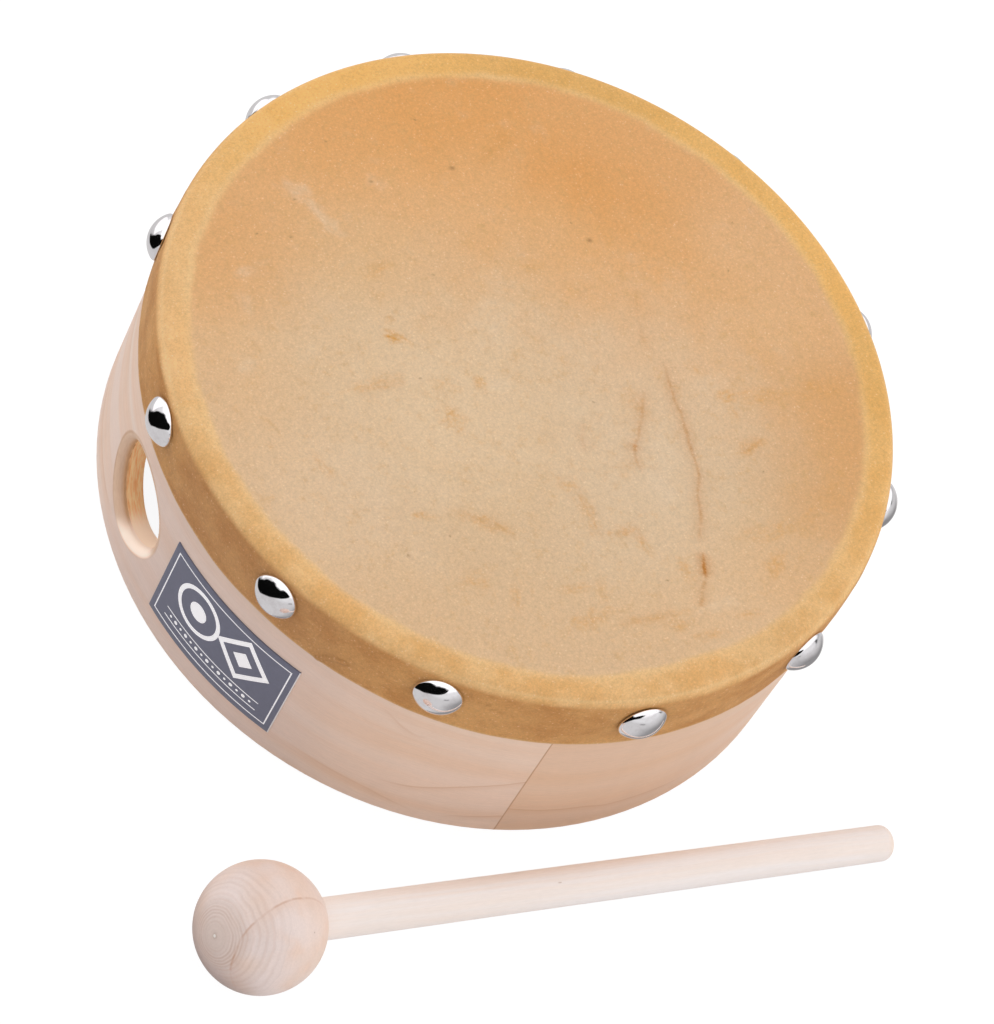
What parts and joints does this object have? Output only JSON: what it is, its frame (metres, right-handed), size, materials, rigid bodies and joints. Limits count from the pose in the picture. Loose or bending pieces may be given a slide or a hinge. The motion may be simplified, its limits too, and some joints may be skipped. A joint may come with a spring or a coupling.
{
  "type": "hand drum with beater",
  "caption": "Small round frame drum: skin head folded over a bent-wood shell and held by domed tacks, round grip hole, badge, and a loose wooden beater with a ball head.",
  "frame": {"origin": "centre of the shell's open base rim, in the rim's plane", "axes": "+Z along the shell's axis, up out of the skin head; -X out through the grip hole; the beater lies on the base plane on the -Y side"},
  "size_m": [0.2245, 0.2468, 0.0721],
  "materials": {
    "shell_outer_wood": "satin clear varnish",
    "shell_inner_wood": "sanded",
    "drum_skin": "dried natural skin, matt",
    "tack_chrome": "polished",
    "nail_steel": "drawn wire",
    "badge_plate": "printed foil",
    "ball_wood": "sanded, light varnish",
    "handle_wood": "sanded, light varnish"
  },
  "bodies": {
    "drum": {"shell_outer_ply": "shell_outer_wood", "shell_inner_ply": "shell_inner_wood", "drumhead": "drum_skin", "tack_caps": "tack_chrome", "tack_nails": "nail_steel", "badge": "badge_plate"},
    "beater": {"mallet_ball": "ball_wood", "mallet_handle": "handle_wood"}
  },
  "joints": [
    {"name": "beater_lift", "type": "slide", "parent": "drum", "child": "beater", "axis": [0, 0, 1], "range_m": [0, 0.15]}
  ]
}
